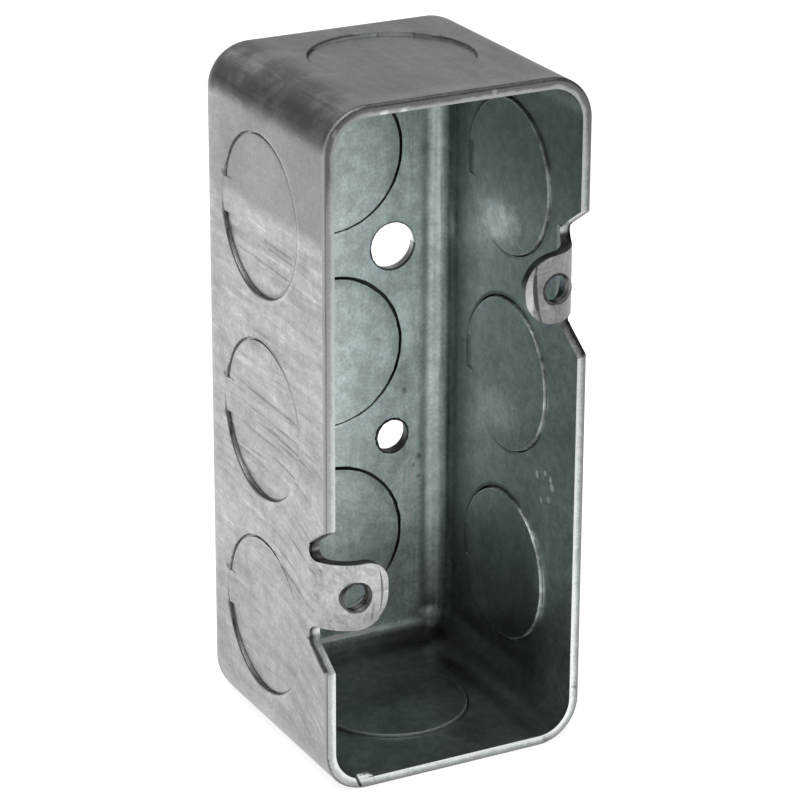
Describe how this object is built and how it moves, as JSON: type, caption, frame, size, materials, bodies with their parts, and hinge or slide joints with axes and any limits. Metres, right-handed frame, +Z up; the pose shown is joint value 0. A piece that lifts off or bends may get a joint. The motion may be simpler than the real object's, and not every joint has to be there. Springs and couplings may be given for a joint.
{
  "type": "handy box",
  "caption": "Narrow drawn steel wiring box with round knockouts in every wall, bent-in screw ears and fixing holes in its back.",
  "frame": {"origin": "under the middle of the lower end, on the surface that the box stands on", "axes": "+Z up along the length, +Y from the mouth to the back, +X to the right seen from the mouth"},
  "size_m": [0.0388, 0.0384, 0.0953],
  "materials": {
    "galvanised_steel": "satin, zinc coated, with draw marks"
  },
  "bodies": {
    "root": {"handy_box": "galvanised_steel"}
  },
  "joints": []
}
